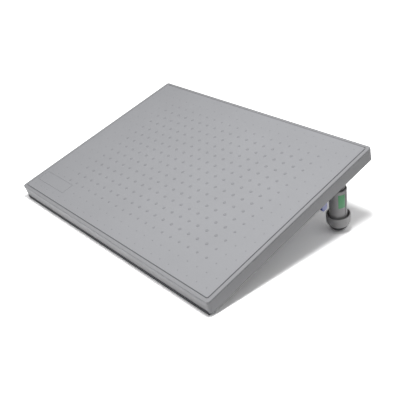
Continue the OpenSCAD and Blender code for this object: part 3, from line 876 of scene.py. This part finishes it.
@dataclass
class Leg:
    """A leg: its tube, height mark, foot cup and rubber foot, in millimetres down its axis."""

    stance: Stance
    side: Side
    tube: float = 13.25
    bore: float = 10.85
    tube_top: float = 39.4013
    tube_end: float = 103.0065
    cup: float = 18.25
    cup_wall: float = 2.0
    cup_top: float = 84.8065
    rim_steps: int = 8
    bowl_steps: int = 18
    socket_fit: float = 0.05
    gap_ease: float = 0.8
    cup_end: float = 108.3065
    straight: float = 8.0
    bowl: float = 20.4
    gap_end: float = 97.0065
    cavity_end: float = 105.3065
    foot_centre: float = 98.0065
    foot: float = 16.0
    lap: float = 101.5
    collar: Pair = (14.35, 103.45)
    neck: float = 11.87
    rubber_gap: float = 0.02
    foot_rim: float = 0.3
    foot_steps: int = 32
    ring_steps: tuple[int, ...] = (12, 18, 24)
    ring_depth: float = 0.25
    spigot: Pair = (7.5, 2.2)
    mark_turn: float = 62.0
    mark_size: Pair = (10.5, 23.0)
    mark_gap: float = 5.5
    mark_depth: float = 1.0
    mark_fit: float = 0.05
    mark_proud: float = 0.2
    mark_soft: float = 0.15
    mark_steps: int = 14
    tube_soft: float = 0.5
    seam: Pair = (0.9, 0.8)
    keyway: Triple = (1.7, 1.1, 4.2)
    steps: int = 96

    @property
    def body(self) -> str:
        """The body that the leg rides on.

        Returns:
            Its name.
        """
        return self.side.name_of("leg")

    def boxes(self) -> bpy.types.Mesh:
        """Makes the cutter of the tube's two seams and its keyway.

        Returns:
            The cutter's mesh.
        """
        form = Form()
        top, end, (deep, half) = self.tube_top, self.gap_end, self.seam
        for sign in (-1.0, 1.0):
            edge = sorted((sign * (self.tube - deep), sign * (self.tube + OVER)))
            form.block((edge[0], -half, top - OVER), (edge[1], half, end))
        half, deep, start = self.keyway
        form.block((-half, self.bore - 2 * OVER, top + start), (half, self.bore + deep, self.tube_end + OVER))
        return form.drawn("seams")

    def mark_block(self, slack: float, inner: float, outer: float) -> Form:
        """Makes the sector of the tube's wall where the height mark sits.

        Args:
            slack: How much smaller than the recess it is, all round.
            inner: Its inner radius.
            outer: Its outer radius.

        Returns:
            The form.
        """
        form = Form()
        half = math.asin((self.mark_size[0] / 2 - slack) / outer)
        start = self.tube_top + self.mark_gap + slack
        end = start + self.mark_size[1] - 2 * slack
        corners = ((inner, start), (outer, start), (outer, end), (inner, end))
        ring = [form.bm.verts.new((r, 0.0, z)) for r, z in corners]
        face = form.bm.faces.new(ring)
        turn = Matrix.Rotation(math.radians(self.mark_turn - 90.0) - half, 3, "Z")
        bmesh.ops.rotate(form.bm, cent=(0, 0, 0), matrix=turn, verts=form.bm.verts)
        bmesh.ops.spin(form.bm, geom=[face], cent=(0, 0, 0), axis=(0, 0, 1), angle=2 * half,
                       steps=self.mark_steps, use_merge=False, use_duplicate=False)
        bmesh.ops.recalc_face_normals(form.bm, faces=form.bm.faces)
        return form

    def tube_piece(self) -> None:
        """Builds the outer tube with its bore, seams, keyway and recess."""
        form = Form()
        top, end, soft = self.tube_top, self.tube_end, self.tube_soft
        ease = soft * 0.3
        form.turned([(self.bore + soft, top), (self.tube - soft, top), (self.tube - ease, top + ease),
                     (self.tube, top + soft), (self.tube, end), (self.bore, end), (self.bore, top + soft),
                     (self.bore + soft, top)], self.steps)
        mesh = combine(form.drawn("tube"), self.boxes(), "DIFFERENCE")
        recess = self.mark_block(0.0, self.tube - self.mark_depth, self.tube + OVER).drawn("recess")
        mesh = combine(mesh, recess, "DIFFERENCE")
        self.finish(mesh, "leg_sleeve", Palette.LEG_PAINTED_LIGHT, "leg_plastic", "leg_tube")

    def finish(self, mesh: bpy.types.Mesh, name: str, finish: Finish, slot: str, node: str) -> None:
        """Places a mesh drawn along the leg and adds it as a piece.

        Args:
            mesh: The mesh in millimetres.
            name: The piece's name without its side.
            finish: Its finish.
            slot: Its material slot.
            node: The solid that it stands for, without its side.
        """
        done = settle(mesh, self.stance.on_leg(self.side), name)
        add_piece(self.side.name_of(name), done, finish, self.body, slot, self.side.name_of(node))

    def mark(self) -> None:
        """Builds the green height mark, a touch proud of the tube."""
        inner = self.tube - (self.mark_depth - self.mark_fit)
        form = self.mark_block(self.mark_fit, inner, self.tube + self.mark_proud)
        form.soften(form.sharp_edges(50.0), self.mark_soft)
        self.finish(form.drawn("mark"), "height_band", Palette.GREEN, "green_mark", "height_mark")

    def bowl_radius(self, s: float) -> float:
        """Gives the cup's outer radius at a place along the axis.

        Args:
            s: The place, down from the platform's top.

        Returns:
            The radius.
        """
        return self.cup * math.sqrt(1.0 - ((s - self.cup_top - self.straight) / self.bowl) ** 2)

    def cup_piece(self) -> None:
        """Builds the foot cup: a rounded rim, straight wall and drawn-in bowl."""
        inner, top, soft = self.cup - self.cup_wall, self.cup_top, self.cup_wall / 2
        arc = [(self.cup - soft + soft * math.cos(a), top + soft - soft * math.sin(a))
               for a in [math.pi * (1 - i / self.rim_steps) for i in range(self.rim_steps + 1)]]
        start, end, steps = top + self.straight, self.cup_end, self.bowl_steps
        places = [start + i * (self.lap - start) / steps for i in range(steps + 1)]
        bowl = [(self.bowl_radius(s), s) for s in places]
        collar, step = self.collar
        bowl += [(collar, self.lap), (collar, step), (self.neck, step), (self.neck, end)]
        (radius, height), room, ease = self.spigot, self.tube + self.socket_fit, self.gap_ease
        socket = [(0.0, self.cavity_end), (self.bore, self.cavity_end), (self.bore, self.tube_end),
                  (room, self.tube_end), (room, self.gap_end), (inner - ease, self.gap_end),
                  (inner, self.gap_end - ease)]
        outline = socket + arc + bowl + [(radius, end), (radius, end + height), (0.0, end + height)]
        form = Form()
        form.turned(outline, self.steps)
        self.finish(form.drawn("cup"), "foot_bell", Palette.LEG_PAINTED_LIGHT, "leg_plastic", "foot_cup")

    def foot_piece(self) -> None:
        """Builds the rubber foot: a rolling cap with fine tread rings."""
        gap, count = self.rubber_gap, self.foot_steps
        start, neck, lap = self.cup_end + gap, self.neck + gap, self.lap + gap
        collar, step = self.collar[0] + gap, self.collar[1] + gap
        edge = math.acos((self.lap - self.foot_centre) / self.foot)
        outline = [(0.0, start), (neck, start), (neck, step), (collar, step), (collar, lap),
                   (math.sin(edge) * self.foot - self.foot_rim, lap)]
        for index in range(count + 1):
            angle = edge * (1 - index / count)
            radius = self.foot - (self.ring_depth if index in self.ring_steps else 0.0)
            outline.append((radius * math.sin(angle), self.foot_centre + radius * math.cos(angle)))
        form = Form()
        form.turned(outline[:-1] + [(0.0, self.foot_centre + self.foot)], self.steps)
        self.finish(form.drawn("foot"), "rubber_cap", Palette.RUBBER, "black_rubber", "rubber_foot")

    def build(self) -> None:
        """Builds the leg's pieces."""
        self.tube_piece()
        self.mark()
        self.cup_piece()
        self.foot_piece()


# ---- release levers


@dataclass
class ReleaseLever:
    """A blue bell-crank lever: hub, nosed blade, arm and ribbed finger pad, in millimetres beside the leg."""

    stance: Stance
    side: Side
    pivot: Pair = (-23.0, -9.2)
    hub: Pair = (4.2, 11.0)
    pin: float = 1.5
    blade: Triple = (9.0, 2.4, 2.0)
    blade_top: float = -4.1
    nose: Triple = (2.0, -1.0, -5.8333)
    arm: Triple = (8.0, 4.0, -9.0)
    pad_low: Triple = (8.8, -61.0, -36.5)
    pad_high: Triple = (16.3, -49.0, -9.0)
    elbow: float = 6.0
    pad_round: tuple[float, int] = (5.4, 9)
    ridges: int = 4
    ridge: Triple = (0.7, 0.2, 1.6)
    pin_fit: float = 0.06
    softs: Triple = (0.3, 0.5, 0.6)

    def rod(self, radius: float, length: float, y: float, z: float, segments: int = 48) -> Form:
        """Makes a rod along X.

        Args:
            radius: Its radius.
            length: Its length, about X 0.
            y: Its place.
            z: Its height.
            segments: Its sides.

        Returns:
            The form.
        """
        form = Form()
        place = Matrix.Translation((0.0, y, z)) @ Matrix.Rotation(math.pi / 2, 4, "Y")
        bmesh.ops.create_cone(form.bm, cap_ends=True, cap_tris=False, segments=segments, radius1=radius,
                              radius2=radius, depth=length, matrix=place)
        return form

    def arm_form(self) -> Form:
        """Makes the arm that turns out to the finger pad.

        Returns:
            The arm.
        """
        form = Form()
        half, thick, top = self.arm[0] / 2, self.arm[1], self.arm[2]
        y, (x0, front), (x1, back) = self.pivot[0], self.pad_low[:2], self.pad_high[:2]
        bend = y - self.elbow
        outline = [(-half, y), (half, y), (half, bend), (x1, back), (x1, front), (x0, front),
                   (x0, (front + back) / 2), (-half, bend)]
        face = form.bm.faces.new([form.bm.verts.new((x, y, top - thick)) for x, y in outline])
        raised = bmesh.ops.extrude_face_region(form.bm, geom=[face])["geom"]
        verts = [v for v in raised if isinstance(v, bmesh.types.BMVert)]
        bmesh.ops.translate(form.bm, vec=(0.0, 0.0, thick), verts=verts)
        bmesh.ops.recalc_face_normals(form.bm, faces=form.bm.faces)
        form.soften(form.sharp_edges(SHARP), self.softs[1], 3)
        return form

    def pad_form(self) -> Form:
        """Makes the finger pad with its rounded lower end.

        Returns:
            The pad.
        """
        form = Form()
        form.block(self.pad_low, self.pad_high)
        across = [e for e in form.bm.edges if all(v.co.z < self.pad_low[2] + OVER for v in e.verts)
                  and abs(e.verts[0].co.x - e.verts[1].co.x) > OVER]
        form.soften(across, *self.pad_round)
        form.soften(form.sharp_edges(SHARP), self.softs[2], 3)
        return form

    def ridge_forms(self) -> Form:
        """Makes the grip ridges under the finger pad.

        Returns:
            The ridges in one form.
        """
        form = Form()
        low, high, (radius, lift, short) = self.pad_low, self.pad_high, self.ridge
        along = Matrix.Rotation(math.pi / 2, 4, "Y")
        for index in range(self.ridges):
            y = low[1] + (high[1] - low[1]) * (index + 1.5) / (self.ridges + 2)
            place = Matrix.Translation(((low[0] + high[0]) / 2, y, low[2] + lift)) @ along
            bmesh.ops.create_cone(form.bm, cap_ends=True, cap_tris=False, segments=20, radius1=radius,
                                  radius2=radius, depth=high[0] - low[0] - short, matrix=place)
        return form

    def build(self) -> None:
        """Builds the lever and puts it on its body."""
        y, z = self.pivot
        blade = Form()
        wide, thick, end = self.blade
        blade.block((-wide / 2, y, self.blade_top - thick), (wide / 2, end, self.blade_top))
        blade.soften(blade.sharp_edges(SHARP), self.softs[0])
        mesh = self.rod(self.hub[0], self.hub[1], y, z).drawn("lever")
        radius, nose_y, nose_z = self.nose
        nose = self.rod(radius, wide - 2 * NEAR, nose_y, nose_z, 32)
        parts = [blade, nose, self.arm_form(), self.pad_form(), self.ridge_forms()]
        for part in parts:
            mesh = combine(mesh, part.drawn("part"), "UNION")
        bore = self.rod(self.pin + self.pin_fit, self.hub[1] + 2 * OVER, y, z)
        mesh = combine(mesh, bore.drawn("bore"), "DIFFERENCE")
        done = settle(mesh, self.stance.by_leg(self.side), "release_lever")
        add_piece(self.side.name_of("lever_grip"), done, Palette.BLUE, self.side.name_of("lever"),
                  "blue_plastic", self.side.name_of("release_lever"))


# ---- carried-over solids


@dataclass(frozen=True)
class Hardware:
    """Solids that keep their own shape and only get a finish."""

    finishes: dict[str, Finish] = field(default_factory=lambda: {
        "guide_post": Palette.POST, "post_screws": Palette.ZINC, "cup_pins": Palette.STEEL,
        "lever_pin": Palette.STEEL, "lock_rod": Palette.STEEL,
        "pressure_washer": Palette.STEEL, "rod_nut": Palette.STEEL, "brake_ring": Palette.RUBBER,
        "return_spring": Palette.STEEL, "tread_screws": Palette.ZINC})

    def dress(self) -> None:
        """Gives each solid that still shows its finish."""
        for name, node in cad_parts.items():
            plain = name.removeprefix("left_").removeprefix("right_")
            finish = self.finishes.get(plain)
            if finish is None:
                continue
            node.data.materials.clear()
            node.data.materials.append(finish.material())
            LOG.info("%s: dressed in %s", name, finish.name)


# ---- studio


@dataclass
class Studio:
    """Pale floor, soft lamps and the camera."""

    lens: float = 55.22
    place: Triple = (0.65827, -0.56387, 0.47242)
    turn: Triple = (62.3353, 1.1676, 47.3278)
    room: float = 0.24
    floor_half: float = 6.0
    floor_tone: float = 0.55
    paper_tone: Pair = (2.65, 5.2)
    paper_reach: Pair = (0.30, 1.3)
    key_place: Triple = (0.225, -0.20, 0.955)
    key_size: float = 0.24
    key_power: float = 6.4
    front_place: Triple = (-0.5, -1.6, 0.35)
    front_size: float = 0.9
    front_power: float = 4.8
    aim: Triple = (0.0, 0.0, 0.05)

    def camera(self) -> None:
        """Sets the camera at the photograph's angle."""
        data = bpy.data.cameras.new("view")
        data.lens, data.sensor_width, data.sensor_fit = self.lens, 36.0, "HORIZONTAL"
        data.clip_start, data.clip_end = 0.01, 50.0
        camera = stand("view", data)
        camera.location = self.place
        camera.rotation_euler = Euler([math.radians(a) for a in self.turn], "XYZ")
        bpy.context.scene.camera = camera

    def seen(self, tree: bpy.types.NodeTree) -> bpy.types.NodeSocket:
        """Adds a mask of what the camera sees, also in gloss and through glass.

        Args:
            tree: The tree of a material or the world.

        Returns:
            The mask.
        """
        path = tree.nodes.new("ShaderNodeLightPath")
        direct = Shared.maths(tree, "MAXIMUM", path.outputs["Is Camera Ray"], path.outputs["Is Glossy Ray"])
        return Shared.maths(tree, "MAXIMUM", direct, path.outputs["Is Transmission Ray"])

    def floor(self) -> None:
        """Lays the pale floor, which keeps the footrest's shadow."""
        form = Form()
        bmesh.ops.create_grid(form.bm, x_segments=1, y_segments=1, size=self.floor_half)
        mesh = form.drawn("floor")
        floor = stand("floor", mesh)
        material = bpy.data.materials.new("pale_floor")
        material.use_nodes = True
        tree = material.node_tree
        tree.nodes.remove(tree.nodes["Principled BSDF"])
        matte = tree.nodes.new("ShaderNodeBsdfDiffuse")
        place = tree.nodes.new("ShaderNodeTexCoord")
        reach = tree.nodes.new("ShaderNodeVectorMath")
        reach.operation = "LENGTH"
        tree.links.new(place.outputs["Object"], reach.inputs[0])
        spread = tree.nodes.new("ShaderNodeMapRange")
        names = ("From Min", "From Max", "To Min", "To Max")
        for name, value in zip(names, (*self.paper_reach, *self.paper_tone)):
            spread.inputs[name].default_value = value
        tree.links.new(reach.outputs["Value"], spread.inputs["Value"])
        shown = Shared.maths(tree, "SUBTRACT", spread.outputs["Result"], self.floor_tone)
        tone = Shared.maths(tree, "MULTIPLY_ADD", self.seen(tree), shown, self.floor_tone)
        tree.links.new(tone, matte.inputs["Color"])
        tree.links.new(matte.outputs[0], tree.nodes["Material Output"].inputs["Surface"])
        mesh.materials.append(material)

    def sky(self) -> None:
        """Fills the room with soft white light and a white background."""
        world = bpy.data.worlds.new("room")
        bpy.context.scene.world = world
        world.use_nodes = True
        tree = world.node_tree
        back = tree.nodes["Background"]
        back.inputs["Color"].default_value = (1.0, 1.0, 1.0, 1.0)
        level = Shared.maths(tree, "MULTIPLY_ADD", self.seen(tree), 1.0 - self.room, self.room)
        tree.links.new(level, back.inputs["Strength"])

    def lamp(self, name: str, place: Triple, size: float, power: float) -> None:
        """Adds a square lamp that looks at the footrest.

        Args:
            name: The lamp's name.
            place: Its place.
            size: Its side.
            power: Its power in watts.
        """
        data = bpy.data.lights.new(name, "AREA")
        data.shape, data.size, data.energy = "SQUARE", size, power
        lamp = stand(name, data)
        lamp.location = place
        lamp.rotation_euler = (Vector(self.aim) - Vector(place)).to_track_quat("-Z", "Y").to_euler()

    def build(self) -> None:
        """Sets up the camera, the floor and the light."""
        self.camera()
        self.floor()
        self.sky()
        self.lamp("key", self.key_place, self.key_size, self.key_power)
        self.lamp("front", self.front_place, self.front_size, self.front_power)
        bpy.context.scene.view_settings.view_transform = "Standard"


def main() -> None:
    """Builds the footrest and its studio in order."""
    logging.basicConfig(level=logging.INFO, format="%(name)s: %(message)s")
    stance = Stance()
    Studio().build()
    Platform(stance).build()
    for side in Side:
        Leg(stance, side).build()
        ReleaseLever(stance, side).build()
    Hardware().dress()


if __name__ == "__main__":
    main()
